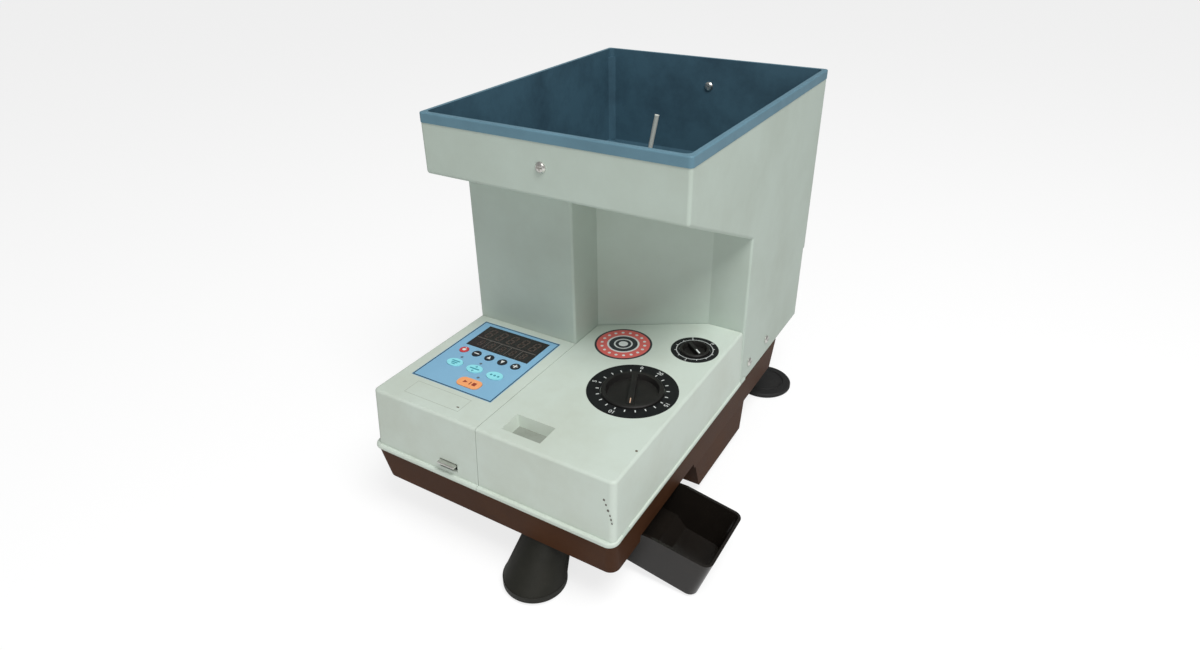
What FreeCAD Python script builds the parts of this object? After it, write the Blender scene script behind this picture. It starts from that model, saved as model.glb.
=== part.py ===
import FreeCAD, Part
import os
import math
import Sketcher
from FreeCAD import Placement, Rotation, Vector

# Electric coin counter with a rear hopper, two setting dials, a reject tray and a bag spout.
# Lengths are in millimetres. Sizes are measured from the front left corner of the covers
# (x to the right, y to the back) and up from the counter top. Every piece is then placed from
# the middle of the whole machine's outline, on the counter top.

doc = FreeCAD.newDocument("CoinCounter")
sheet = doc.addObject("Spreadsheet::Sheet", "Sizes")
parts = []


# A length that knows its number and the formula that gives it from the sheet.
class Size:
    def __init__(self, number, formula):
        self.number = float(number)
        self.formula = formula

    def __add__(self, other):
        return joined(self, "+", other)

    def __radd__(self, other):
        return joined(other, "+", self)

    def __sub__(self, other):
        return joined(self, "-", other)

    def __rsub__(self, other):
        return joined(other, "-", self)

    def __mul__(self, other):
        return joined(self, "*", other)

    def __rmul__(self, other):
        return joined(other, "*", self)

    def __truediv__(self, other):
        return joined(self, "/", other)

    def __float__(self):
        return self.number


def size_of(item):
    return item if isinstance(item, Size) else Size(item, "%.6g" % item)


def joined(left, sign, right):
    left, right = size_of(left), size_of(right)
    number = {
        "+": left.number + right.number,
        "-": left.number - right.number,
        "*": left.number * right.number,
        "/": left.number / right.number if right.number else 0.0,
    }[sign]
    return Size(number, "(%s %s %s)" % (left.formula, sign, right.formula))


def cell(alias, number):
    row = len([name for name in sheet.PropertiesList if name.startswith("B")]) + 1
    sheet.set("A%d" % row, alias)
    sheet.set("B%d" % row, str(number))
    sheet.setAlias("B%d" % row, alias)
    doc.recompute()
    return Size(number, "Sizes." + alias)


# Whole machine
origin_x = cell("origin_x", 145.96)
origin_y = cell("origin_y", 195.7)
deck_width = cell("deck_width", 240.0)
deck_top = cell("deck_top", 144.0)
wall = cell("wall", 2.5)

# Covers
seam = cell("seam_x", 112.0)
left_depth = cell("left_cover_depth", 148.7)
flange_bottom = cell("flange_bottom", 83.0)
flange_height = cell("flange_height", 5.0)
flange_front = cell("flange_front", 7.0)
flange_left = cell("flange_left", 6.0)
hinge_x = cell("hinge_x", 240.5)
hinge_z = cell("hinge_z", 85.5)
bead_radius = cell("bead_radius", 2.5)
hinge_pin_radius = cell("hinge_pin_radius", 1.2)
hinge_bore_radius = cell("hinge_bore_radius", 1.25)
cover_back = cell("right_cover_back", 244.6)
wall_turn_x = cell("wall_turn_x", 204.0)
wall_turn_y = cell("wall_turn_y", 190.0)

# Base
base_top = cell("base_top", 82.5)
base_step = cell("base_step", 47.0)
base_bottom = cell("base_bottom", 12.0)
base_wall = cell("base_wall", 3.0)
base_back = cell("base_back", 350.0)
foot_radius = cell("foot_radius", 12.0)
plate_thickness = cell("chassis_thickness", 2.0)
plate_bottom = cell("chassis_bottom", 80.0)

# Housing and hopper
column_left = cell("column_left", 0.0)
hopper_left = cell("hopper_left", -7.0)
hopper_right = cell("hopper_right", 241.5)
hopper_front = cell("hopper_front", 105.0)
hopper_back = cell("hopper_back", 418.0)
hopper_top = cell("hopper_top", 356.0)
hopper_front_bottom = cell("hopper_front_bottom", 304.0)
column_bottom = cell("column_bottom", 84.0)
column_front_y = cell("column_front", 149.0)
right_wall_y = cell("right_wall_front", 245.0)
under_slope = cell("underside_slope", 0.452)
rim_height = cell("rim_height", 8.5)
rim_width = cell("rim_width", 4.1)
liner_wall = cell("liner_wall", 1.6)
outlet_z = cell("outlet_height", 225.0)
funnel_z = cell("funnel_height", 252.0)

# Dials
big_x = cell("big_dial_x", 194.4)
big_y = cell("big_dial_y", 109.2)
big_plate_radius = cell("big_plate_radius", 39.5)
big_knob_radius = cell("big_knob_radius", 27.0)
small_x = cell("small_dial_x", 212.9)
small_y = cell("small_dial_y", 194.4)
small_plate_radius = cell("small_plate_radius", 22.0)
small_knob_radius = cell("small_knob_radius", 13.8)
dial_shaft_radius = cell("dial_shaft_radius", 3.0)
cam_inner = cell("cam_inner_radius", 8.0)
cam_outer = cell("cam_outer_radius", 28.0)
cam_turn = cell("cam_turn_degrees", 320.0)

# Coin path
track_top = cell("track_top", 104.0)
disc_x = cell("disc_x", 122.0)
disc_y = cell("disc_y", 300.0)
disc_radius = cell("disc_radius", 62.0)
disc_top = cell("disc_top", 104.0)
belt_z = cell("belt_axis_height", 114.8)
pulley_radius = cell("belt_pulley_radius", 7.0)
spout_x = cell("spout_x", 163.0)
spout_y = cell("spout_y", 24.0)
mouth_x = cell("spout_mouth_x", 160.7)
mouth_y = cell("spout_mouth_y", 0.6)
mouth_radius = cell("spout_mouth_radius", 27.7)
neck_radius = cell("spout_neck_radius", 20.0)

# Keypad
label_left = cell("label_left", 12.5)
label_front = cell("label_front", 34.5)
label_width = cell("label_width", 88.0)
label_depth = cell("label_depth", 106.0)
window_left = cell("window_left", 22.2)
window_front = cell("window_front", 98.0)
window_width = cell("window_width", 70.0)
window_depth = cell("window_depth", 37.0)
label_thickness = cell("label_thickness", 1.0)
stem_radius = cell("key_stem_radius", 2.5)
board_bottom = cell("board_bottom", 130.0)
board_thickness = cell("board_thickness", 1.6)


def bind(item, path, size):
    size = size_of(size)
    if "Sizes." in size.formula:
        item.setExpression(path, size.formula)


def place(item, x, y, z, turn=None):
    spot = (x - origin_x, y - origin_y, size_of(z))
    turn = turn or Rotation()
    item.Placement = Placement(Vector(*[part.number for part in spot]), turn)
    for letter, part in zip("xyz", spot):
        bind(item, "Placement.Base." + letter, part)


def new(kind, name):
    return doc.addObject(kind, name)


def set_size(item, path, size):
    setattr(item, path, size_of(size).number)
    bind(item, path, size)


# Part primitives

AXIS_TURNS = {
    "Z": Rotation(),
    "X": Rotation(Vector(0, 1, 0), 90),
    "Y": Rotation(Vector(1, 0, 0), -90),
}


def box(x, y, z, dx, dy, dz, name="Block"):
    item = new("Part::Box", name)
    for path, size in (("Length", dx), ("Width", dy), ("Height", dz)):
        set_size(item, path, size)
    place(item, x, y, z)
    return item


def cylinder(x, y, z, radius, length, axis="Z", name="Round"):
    item = new("Part::Cylinder", name)
    set_size(item, "Radius", radius)
    set_size(item, "Height", length)
    place(item, x, y, z, AXIS_TURNS[axis])
    return item


def cone(x, y, z, radius_low, radius_high, length, name="Cone"):
    item = new("Part::Cone", name)
    set_size(item, "Radius1", radius_low)
    set_size(item, "Radius2", radius_high)
    set_size(item, "Height", length)
    place(item, x, y, z)
    return item


def cut(base, *tools):
    item = new("Part::Cut", "Cut")
    item.Base = base
    item.Tool = tools[0] if len(tools) == 1 else fuse(*tools)
    return item


def fuse(*pieces):
    item = new("Part::MultiFuse", "Fuse")
    item.Shapes = list(pieces)
    return item


def group(*pieces):
    item = new("Part::Compound", "Group")
    item.Links = list(pieces)
    return item


# Numbers of the edges that a test picks, which sees them where the machine is measured.
def picked(item, chosen):
    doc.recompute()
    shape = item.Shape.copy()
    shape.translate(Vector(float(origin_x), float(origin_y), 0))
    return [n + 1 for n, edge in enumerate(shape.Edges) if chosen(edge)]


def rounded(base, radius, chosen):
    edges = picked(base, chosen)
    item = new("Part::Fillet", "Rounded")
    item.Base = base
    item.Edges = [(n, float(radius), float(radius)) for n in edges]
    return item


def upright(edge):
    box_of = edge.BoundBox
    return box_of.ZLength > 0.5 and box_of.XLength < 0.01 and box_of.YLength < 0.01


# Sketches, in a body of their own or free

PLANES = {
    "XY": ("XY_Plane", Rotation(), Vector(0, 0, 1)),
    "XZ": ("XZ_Plane", Rotation(Vector(1, 0, 0), 90), Vector(0, -1, 0)),
    "YZ": ("YZ_Plane", Rotation(Vector(1, 1, 1), 120), Vector(1, 0, 0)),
}


def blank_sketch(owner, plane, offset):
    role, turn, normal = PLANES[plane]
    offset = size_of(offset)
    if owner is None:
        item = new("Sketcher::SketchObject", "Outline")
        spot = [-1 * origin_x, -1 * origin_y, size_of(0)]
        spot = [part + offset * direction for part, direction in zip(spot, normal)]
        item.Placement = Placement(Vector(*[part.number for part in spot]), turn)
        for letter, part in zip("xyz", spot):
            bind(item, "Placement.Base." + letter, part)
        return item
    item = owner.newObject("Sketcher::SketchObject", "Sketch")
    home = [feature for feature in owner.Origin.OriginFeatures if feature.Role == role][0]
    item.AttachmentSupport = [(home, "")]
    item.MapMode = "FlatFace"
    item.AttachmentOffset = Placement(Vector(0, 0, offset.number), Rotation())
    bind(item, "AttachmentOffset.Base.z", offset)
    return item


def fix_point(item, geometry, point, u, v):
    for kind, size in (("DistanceX", size_of(u)), ("DistanceY", size_of(v))):
        if size.number >= 0:
            item.addConstraint(Sketcher.Constraint(kind, -1, 1, geometry, point, size.number))
        else:
            size = -1 * size
            item.addConstraint(Sketcher.Constraint(kind, geometry, point, -1, 1, size.number))
        bind(item, "Constraints[%d]" % (item.ConstraintCount - 1), size)


def outline(owner, corners, plane="XY", offset=0):
    item = blank_sketch(owner, plane, offset)
    spots = [Vector(float(u), float(v), 0) for u, v in corners]
    count = len(spots)
    for n in range(count):
        item.addGeometry(Part.LineSegment(spots[n], spots[(n + 1) % count]))
    for n in range(count):
        item.addConstraint(Sketcher.Constraint("Coincident", n, 2, (n + 1) % count, 1))
    for n, (u, v) in enumerate(corners):
        fix_point(item, n, 1, u, v)
    return item


def circles(owner, spots, plane="XY", offset=0):
    item = blank_sketch(owner, plane, offset)
    for n, (u, v, radius) in enumerate(spots):
        centre = Vector(float(u), float(v), 0)
        item.addGeometry(Part.Circle(centre, Vector(0, 0, 1), float(radius)))
        item.addConstraint(Sketcher.Constraint("Radius", n, float(radius)))
        bind(item, "Constraints[%d]" % (item.ConstraintCount - 1), radius)
        fix_point(item, n, 3, u, v)
    return item


def rectangle(u, v, du, dv):
    return [(u, v), (u + du, v), (u + du, v + dv), (u, v + dv)]


def extruded(corners, length, plane="XY", offset=0):
    item = new("Part::Extrusion", "Extrusion")
    item.Base = outline(None, corners, plane, offset)
    item.DirMode = "Normal"
    item.Solid = True
    set_size(item, "LengthFwd", length)
    return item


def lofted(*profiles):
    item = new("Part::Loft", "Loft")
    item.Sections = list(profiles)
    item.Solid = True
    item.Ruled = True
    return item


# PartDesign bodies

def body(x=0, y=0, z=0, turn=None):
    item = new("PartDesign::Body", "Body")
    place(item, x, y, z, turn)
    return item


def feature(owner, kind, profile):
    item = owner.newObject("PartDesign::" + kind, kind)
    item.Profile = profile
    return item


def pad(owner, profile, length):
    item = feature(owner, "Pad", profile)
    set_size(item, "Length", length)
    return item


def pocket(owner, profile, length, backwards=False):
    doc.recompute()
    before = owner.Shape.Volume
    item = feature(owner, "Pocket", profile)
    item.Reversed = not backwards
    set_size(item, "Length", length)
    doc.recompute()
    if not owner.Shape.Volume < before - 1e-6:
        raise RuntimeError("a pocket cuts nothing in " + owner.Name)
    return item


# A block whose four sides lean: low and high are its outlines (x0, y0, x1, y1) at z0 and z1.
def wedge(owner, low, high, z0, z1, subtract=False):
    if owner is None:
        item = new("Part::Wedge", "Wedge")
        place(item, 0, 0, 0, LEAN)
    else:
        kind = "SubtractiveWedge" if subtract else "AdditiveWedge"
        item = owner.newObject("PartDesign::" + kind, kind)
        item.Placement = Placement(Vector(), LEAN)
    sizes = {
        "Xmin": low[0], "Xmax": low[2], "Zmin": -1 * size_of(low[3]), "Zmax": -1 * size_of(low[1]),
        "X2min": high[0], "X2max": high[2],
        "Z2min": -1 * size_of(high[3]), "Z2max": -1 * size_of(high[1]),
        "Ymin": z0, "Ymax": z1,
    }
    for path, size in sizes.items():
        set_size(item, path, size)
    return item


LEAN = Rotation(Vector(1, 0, 0), 90)


def round_edges(owner, radius, chosen):
    names = ["Edge%d" % n for n in picked(owner, chosen)]
    base = owner.Tip
    item = owner.newObject("PartDesign::Fillet", "Fillet")
    item.Base = (base, names)
    set_size(item, "Radius", radius)
    doc.recompute()
    return item


def revolved(profile, x, y, z, turn=None):
    owner = body(x, y, z, turn)
    item = feature(owner, "Revolution", outline(owner, profile, "XZ"))
    item.ReferenceAxis = (item.Profile[0], ["V_Axis"])
    item.Angle = 360
    return owner


def part_named(item, label):
    item.Label = label
    parts.append(item)
    return item


# A pan-head screw with a cross slot. Its head points along +Z before it is turned.
def pan_screw(x, y, z, turn, head=4.2, shank=8.0):
    rise = head * 0.5
    profile = [
        (0, -shank), (head * 0.45, -shank), (head * 0.45, 0), (head, 0),
        (head, rise * 0.35), (head * 0.75, rise * 0.85), (head * 0.35, rise), (0, rise),
    ]
    item = revolved(profile, x, y, z, turn)
    arm, half = head * 0.55, head * 0.1
    for du, dv in ((arm, half), (half, arm)):
        slot = outline(item, rectangle(-du, -dv, 2 * du, 2 * dv), "XY", rise * 0.5)
        pocket(item, slot, rise)
    return item


TO_FRONT = Rotation(Vector(1, 0, 0), 90)
TO_RIGHT = Rotation(Vector(0, 1, 0), 90)
UP = Rotation()


BOSSES = [(10, 12, 50), (10, 180, 50), (10, 335, 50), (228, 10, 50), (222, 200, 15), (222, 335, 50)]


# Base pan: a shallow rim all round with a deep middle, open on top, and an opening for the tray.
def make_base():
    item = body()
    wedge(item, (-4, 2, 238.3, base_back - 3), (-5.5, -5, 241.3, base_back), base_step, base_top)
    round_edges(item, 9, lambda e: e.BoundBox.ZLength > 30 and e.BoundBox.YMin < 100)
    wedge(item, (26, 34, 205, 270), (22, 20, 206, 272), base_bottom, base_step + 0.01)
    wedge(item, (26, 167.5, 237, 270), (22, 152.4, 238.3, 272), base_bottom, base_step + 0.01)
    wedge(item, (26, 200, 198, 343), (22, 200, 202, 346), base_bottom, base_step + 0.01)
    floor_top = base_bottom + base_wall
    step_top = base_step + base_wall
    wedge(
        item, (-1, 5.2, 235.2, base_back - 6), (-2.5, -1.9, 238.2, base_back - 3),
        step_top, base_top + 1, subtract=True,
    )
    wedge(item, (29, 38, 202, 267), (25, 23, 203, 269), floor_top, step_top + 0.01, True)
    wedge(item, (29, 171, 233.8, 267), (25, 156, 235.2, 269), floor_top, step_top + 0.01, True)
    wedge(item, (29, 200, 195, 340), (25, 200, 199, 343), floor_top, step_top + 0.01, True)
    for x, y, z in BOSSES:
        start = z - 0.5
        pad(item, circles(item, [(x, y, 6)], "XY", start), plate_bottom - start)
        pocket(item, circles(item, [(x, y, 2.0)], "XY", plate_bottom - 9), 20)
    for y in (49.6, 110):
        pad(item, outline(item, rectangle(194, y, 8, 2.8), "XY", floor_top - 0.5), 1.6)
    tray_gap = [(44, floor_top), (127, floor_top), (127, 54), (44, 54)]
    pocket(item, outline(item, tray_gap, "YZ", 200), 60)
    side_gap = [(44, 40), (153.5, 40), (146.5, 54), (44, 54)]
    pocket(item, outline(item, side_gap, "YZ", 230), 20)
    pocket(item, circles(item, [(spout_x, spout_y, neck_radius + 0.2)], "XY", base_bottom - 1), 60)
    bell_room = circles(item, [(162.3, 20, 25.5)], "XY", base_bottom - 1)
    pocket(item, bell_room, base_step - base_bottom + 0.9)
    return item


part_named(make_base(), "base_pan")


# Four rubber feet under the deep part of the pan.
FEET = [(48, 62), (205, 62), (48, 318), (175, 318)]
feet = [cone(x, y, 0, foot_radius - 1.5, foot_radius, base_bottom, "Foot") for x, y in FEET]
part_named(group(*feet), "rubber_feet")


# Steel chassis plate on the bosses, with upright tabs that the housing screws to.
def make_chassis():
    item = body()
    pad(item, outline(item, rectangle(1, 2, 232, 338), "XY", plate_bottom), plate_thickness)
    for root_x, root_width, tab_x in ((2.7, 6, 2.7), (230, 7.6, 235.6)):
        root = rectangle(root_x, 258, root_width, 64)
        pad(item, outline(item, root, "XY", plate_bottom), plate_thickness)
        tab = rectangle(tab_x, 258, plate_thickness, 64)
        pad(item, outline(item, tab, "XY", plate_bottom), 32)
    for x, y, _ in BOSSES:
        pocket(item, circles(item, [(x, y, 2.0)], "XY", plate_bottom - 1), 5)
    for opening in ((146, 8, 46, 41), (148, 74, 84, 58)):
        pocket(item, outline(item, rectangle(*opening), "XY", plate_bottom - 1), 5)
    pocket(item, circles(item, [(disc_x, disc_y, 14.1)], "XY", plate_bottom - 1), 5)
    for z, y in SIDE_SCREWS:
        pocket(item, circles(item, [(y, z, 2.1)], "YZ", -1), 250)
    return item


SIDE_SCREWS = [(101, 314), (100, 266)]
part_named(make_chassis(), "chassis_plate")
chassis_screws = [pan_screw(x, y, plate_bottom + plate_thickness, UP) for x, y, _ in BOSSES]


# Keypad layout, by name: middle of the key and half its size, and its outline.
KEYS = {
    "key_red": ("round", 27.7, 88.8, 4.5, 4.5),
    "key_black_1": ("round", 42.3, 88.8, 4.5, 4.5),
    "key_black_2": ("round", 56.9, 88.8, 4.5, 4.5),
    "key_black_3": ("round", 71.6, 88.8, 4.5, 4.5),
    "key_black_4": ("round", 86.2, 88.8, 4.5, 4.5),
    "key_cyan_1": ("oval", 34.2, 67.8, 8.2, 5.8),
    "key_cyan_2": ("oval", 56.7, 67.8, 8.2, 5.8),
    "key_cyan_3": ("oval", 79.2, 67.8, 8.2, 5.8),
    "key_orange": ("bar", 67.0, 48.0, 12.0, 6.2),
}
# A solid of a key's outline, grown by the clearance that its hole needs.
def key_solid(kind, x, y, half_x, half_y, grow, z, height):
    if kind == "round":
        return cylinder(x, y, z, half_x + grow, height)
    if kind == "oval":
        curve = new("Part::Ellipse", "Oval")
        curve.MajorRadius = half_x + grow
        curve.MinorRadius = half_y + grow
        place(curve, x, y, z)
        item = new("Part::Extrusion", "Key")
        item.Base = curve
        item.DirMode = "Custom"
        item.Dir = Vector(0, 0, 1)
        item.Solid = True
        set_size(item, "LengthFwd", height)
        return item
    block = box(
        x - half_x - grow, y - half_y - grow, z, 2 * (half_x + grow), 2 * (half_y + grow), height,
    )
    return rounded(block, half_y - 1.0 + grow, upright)


# Left cover: a drafted shell with a bead round its lower edge, which carries the keypad.
def make_left_cover():
    item = body()
    right = seam - 0.25
    wedge(item, (-2, -4, right, left_depth), (0, 0, right, left_depth), flange_bottom + 1, deck_top)
    round_edges(item, 5, lambda e: e.BoundBox.ZLength > 40 and e.BoundBox.XMax < 2
                and e.BoundBox.YMax < 2)
    round_edges(item, 2.5, lambda e: e.BoundBox.ZMin > 143.9
                and (e.BoundBox.XMax < 6 or e.BoundBox.YMax < 6))
    bead = rectangle(-1 * flange_left, -1 * flange_front, right + flange_left,
                     left_depth + flange_front)
    pad(item, outline(item, bead, "XY", flange_bottom), flange_height)
    round_edges(item, 9, lambda e: upright(e) and e.BoundBox.XMax < -5.9 and e.BoundBox.YMax < -6.9)
    round_edges(item, 2.3, lambda e: e.BoundBox.ZLength < 0.01 and e.BoundBox.YMin < 3
                and (e.BoundBox.XMin < -5.9 or e.BoundBox.YMin < -6.9)
                and e.BoundBox.XMin < 100)
    wedge(
        item, (0.7, -1.3, seam - 2.25, left_depth - 2), (2.5, 2.5, seam - 2.25, left_depth - 2),
        flange_bottom - 1, deck_top - wall, subtract=True,
    )
    recess = rectangle(label_left - 0.1, label_front - 0.1, label_width + 0.2, label_depth + 0.2)
    pocket(item, outline(item, recess, "XY", deck_top - label_thickness), 5)
    glass = rectangle(window_left - 0.1, window_front - 0.1, window_width + 0.2, window_depth + 0.2)
    pocket(item, outline(item, glass, "XY", deck_top - 6), 10)
    holes = [(x, y, stem_radius + 0.3) for _, x, y, _, _ in KEYS.values()]
    pocket(item, circles(item, holes, "XY", deck_top - 6), 10)
    for x in (18, 96):
        for y in (42, 92.5):
            pad(item, circles(item, [(x, y, 3)], "XY", board_bottom + board_thickness), 10.5)
    for x in (68, 90.3):
        pad(item, outline(item, rectangle(x, 24, 2.7, 8), "XY", 94), deck_top - 2 - 94)
    pocket(item, circles(item, [(28, 98.6, 1.55)], "YZ", 60), 40)
    pocket(item, outline(item, rectangle(71.1, 91.8, 19.1, 8.4), "XZ", -4), 12)
    return item


part_named(make_left_cover(), "left_cover")


# Printed film on a backing, in the cover's recess, open over the window and round each key.
def make_label():
    z = deck_top - label_thickness
    sheet_block = rounded(
        box(label_left, label_front, z, label_width, label_depth, label_thickness), 1.5, upright)
    glass = box(window_left - 0.1, window_front - 0.1, z - 1, window_width + 0.2,
                window_depth + 0.2, 4)
    holes = [key_solid(*spec, 0.25, z - 1, 4) for spec in KEYS.values()]
    return cut(sheet_block, glass, *holes)


part_named(make_label(), "control_label")

window = body()
pad(window, outline(window, rectangle(window_left, window_front, window_width, window_depth),
                    "XY", deck_top - 3.4), 3.5)
part_named(window, "display_window")

# Two blocks of five seven-segment digits under the window.
digits = group(
    box(window_left + 3.2, window_front + 16.5, board_bottom + board_thickness, 63.5, 19, 8.6),
    box(window_left + 7.0, window_front + 1.5, board_bottom + board_thickness, 56, 13.5, 8.6),
)
part_named(digits, "digit_modules")

board = body()
pad(board, outline(board, rectangle(14, 38.5, 86, 102), "XY", board_bottom), board_thickness)
part_named(board, "control_board")


# Keys: a cap level with the label and a stem that presses a switch on the board.
switches = []
for name, spec in KEYS.items():
    _, x, y, _, _ = spec
    cap = key_solid(*spec, 0.0, deck_top - 0.4, 0.9)
    stem = cylinder(x, y, 137.6, stem_radius, deck_top - 137.6)
    part_named(fuse(cap, stem), name)
    z = board_bottom + board_thickness
    switches.append(fuse(box(x - 3, y - 3, z, 6, 6, 3.5), cylinder(x, y, z, 1.75, 137.0 - z)))
part_named(group(*switches), "tact_switches")


# Sprung lever in a slot of the left cover's front: a bright tongue, an arm and a pivot.
lever = fuse(
    rounded(box(71.9, -7.5, 97.6, 17.5, 7.0, 2.0), 0.8, lambda e: e.BoundBox.YMax < -7.4),
    box(76, -1.5, 97.6, 9, 30, 2.0),
    cylinder(74, 28, 98.6, 3, 13, "X"),
    cylinder(68.4, 28, 98.6, 1.5, 24.3, "X"),
)
part_named(lever, "cover_latch")


# Right cover: a drafted shell whose right bead is the hinge barrel, with the wells of the
# dials, the finger pocket and the guides of the two gates under its top.
WELL_FLOOR = 139.5


def make_right_cover():
    item = body()
    left = seam + 0.25
    wedge(item, (left, -4, 241.5, cover_back), (left, 0, deck_width, cover_back),
          flange_bottom + 1, deck_top)
    round_edges(item, 5, lambda e: e.BoundBox.ZLength > 40 and e.BoundBox.XMin > 238
                and e.BoundBox.YMax < 2)
    round_edges(item, 2.5, lambda e: e.BoundBox.ZMin > 143.9
                and (e.BoundBox.XMin > 234 or e.BoundBox.YMax < 6) and e.BoundBox.YMin < 240)
    bead = rectangle(left, -1 * flange_front, hinge_x + bead_radius - left,
                     cover_back + flange_front)
    pad(item, outline(item, bead, "XY", flange_bottom), flange_height)
    round_edges(item, 9, lambda e: upright(e) and e.BoundBox.XMin > 242.9 and e.BoundBox.YMax < -6.9)
    for radius, low, high in ((2.3, 82.9, 83.1), (1.4, 87.9, 88.1)):
        round_edges(item, radius, lambda e: low < e.BoundBox.ZMin and e.BoundBox.ZMax < high
                    and e.BoundBox.YMin < 3 and e.BoundBox.XMax > 120
                    and (e.BoundBox.XMax > 242.9 or e.BoundBox.YMin < -6.9))
    corner = [(left - 10, wall_turn_y - 7.2), (wall_turn_x + 0.2, cover_back),
              (wall_turn_x + 0.2, cover_back + 5), (left - 10, cover_back + 5)]
    pocket(item, outline(item, corner, "XY", flange_bottom - 1), 70)
    hollow = [(left + 2, 2.5), (237.5, 2.5), (237.5, 242), (204.8, 242), (left + 2, 187)]
    pocket(item, outline(item, hollow, "XY", flange_bottom - 1), deck_top - wall - flange_bottom + 1)
    wedge(item, (131, 12, 165.6, 32), (127.6, 9, 169, 35), deck_top - 11, deck_top - 2)
    wedge(item, (133, 14, 163.6, 30), (129.6, 11, 167, 33), deck_top - 9, deck_top + 0.01, True)
    track_way = rectangle(146, 200, 52, 60)
    pocket(item, outline(item, track_way, "XY", flange_bottom - 1), 46)
    wells = ((big_x, big_y, big_plate_radius, big_knob_radius),
             (small_x, small_y, small_plate_radius, small_knob_radius))
    for x, y, plate, knob in wells:
        pad(item, circles(item, [(x, y, knob + 3.2)], "XY", WELL_FLOOR - 2), 4.1)
        pocket(item, circles(item, [(x, y, plate + 0.1)], "XY", deck_top - 1), 5)
        pocket(item, circles(item, [(x, y, knob + 0.5)], "XY", WELL_FLOOR), 10)
        pocket(item, circles(item, [(x, y, dial_shaft_radius + 0.06)], "XY", WELL_FLOOR - 5), 10)
    for y in (97.2, 117.7):
        pad(item, outline(item, rectangle(136, y, 10, 3.5), "XY", 125.5), deck_top - 2 - 125.5)
    pad(item, outline(item, rectangle(136, 97.2, 10, 24), "XY", 125.5), 3.7)
    for y in (187.2, 198.3):
        pad(item, outline(item, rectangle(184, y, 10, 3.5), "XY", 124), deck_top - 2 - 124)
    pocket(item, circles(item, [(hinge_x, hinge_z, hinge_bore_radius)], "XZ", -250), 244.5)
    lug_room = rectangle(232, 7.85, 14, 10.3)
    pocket(item, outline(item, lug_room, "XY", flange_bottom - 1), 6.3)
    return item


part_named(make_right_cover(), "right_cover")


# Hinge: a steel pin through the cover's bead and two knuckles that sit on the base's rim.
pin = cylinder(hinge_x, 6, hinge_z, hinge_pin_radius, 250.3, "Y")
part_named(pin, "hinge_pin")


def knuckle(y):
    foot = fuse(
        box(234.2, y, 72, 2.4, 10, 12),
        box(234.2, y, base_top, 6.6, 10, 1.6),
        box(238, y, 83.2, 2.8, 10, 4.7),
        cylinder(hinge_x, y, hinge_z, bead_radius, 10, "Y"),
    )
    return cut(foot, cylinder(hinge_x, y - 1, hinge_z, hinge_pin_radius, 12, "Y"))


part_named(group(knuckle(8), knuckle(246)), "hinge_knuckles")


# Printed scale rings of the two dials.
def scale_ring(x, y, plate, knob):
    item = body()
    pad(item, circles(item, [(x, y, plate)], "XY", deck_top - 1), 1.2)
    pocket(item, circles(item, [(x, y, knob + 0.7)], "XY", deck_top - 2), 5)
    return item


part_named(scale_ring(big_x, big_y, big_plate_radius, big_knob_radius), "diameter_scale")
part_named(scale_ring(small_x, small_y, small_plate_radius, small_knob_radius), "thickness_scale")


# A dished knob with a grip bar across it, sunk in the cover, on a shaft.
def make_knob(x, y, radius, bar_width, bar_angle, shaft_bottom):
    radius = float(radius)
    ring = radius - max(2.8, radius * 0.17)
    profile = [
        (0, shaft_bottom), (3.0, shaft_bottom), (3.0, 140), (radius - 0.5, 140),
        (radius, 140.5), (radius, 145.2), (radius - 0.8, 146), (ring + 0.6, 146),
        (ring - 0.9, 141.5), (0, 141.5),
    ]
    item = revolved(profile, x, y, 0, Rotation(Vector(0, 0, 1), bar_angle))
    bar = rectangle(-ring, -0.5 * bar_width, 2 * ring, bar_width)
    pad(item, outline(item, bar, "XY", 141), 5.3)
    return item


BIG_BAR_ANGLE = -67.0
SMALL_BAR_ANGLE = -40.0
big_knob = make_knob(big_x, big_y, big_knob_radius, 5.4, BIG_BAR_ANGLE, 134)
part_named(big_knob, "diameter_knob")
small_knob = make_knob(small_x, small_y, small_knob_radius, 3.4, SMALL_BAR_ANGLE, 137)
part_named(small_knob, "thickness_knob")


# Cam on the diameter knob's shaft: a disc with an even spiral slot for the gate's pin.
def make_cam():
    lift = (float(cam_outer) - float(cam_inner)) / math.radians(float(cam_turn))
    middle = (float(cam_outer) + float(cam_inner)) / 2
    half_slot = 1.75

    def edge(side, turns):
        points = []
        for turn in turns:
            angle = math.pi - turn
            radius = middle + lift * turn
            lean = math.atan2(lift, radius)
            out = Vector(math.cos(angle + lean), math.sin(angle + lean), 0)
            points.append(Vector(math.cos(angle), math.sin(angle), 0) * radius + out * side)
        return points

    first, last, steps = math.radians(-176), math.radians(165), 28
    turns = [first + (last - first) * n / steps for n in range(steps + 1)]
    outer = edge(half_slot, turns)
    inner = edge(-half_slot, turns)
    outer_curve = Part.BSplineCurve()
    outer_curve.interpolate(outer)
    inner_curve = Part.BSplineCurve()
    inner_curve.interpolate(inner)
    loop = Part.Wire([
        outer_curve.toShape(), Part.LineSegment(outer[-1], inner[-1]).toShape(),
        inner_curve.toShape(), Part.LineSegment(inner[0], outer[0]).toShape(),
    ])
    slot = Part.Face(loop).extrude(Vector(0, 0, 5))
    slot.translate(Vector(0, 0, -1))
    disc = Part.makeCylinder(float(cam_outer) + 4, 3).cut(Part.makeCylinder(3.02, 3))
    item = new("Part::Feature", "Cam")
    item.Shape = disc.cut(slot)
    place(item, big_x, big_y, 134)
    return item


part_named(make_cam(), "diameter_cam")

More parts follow.
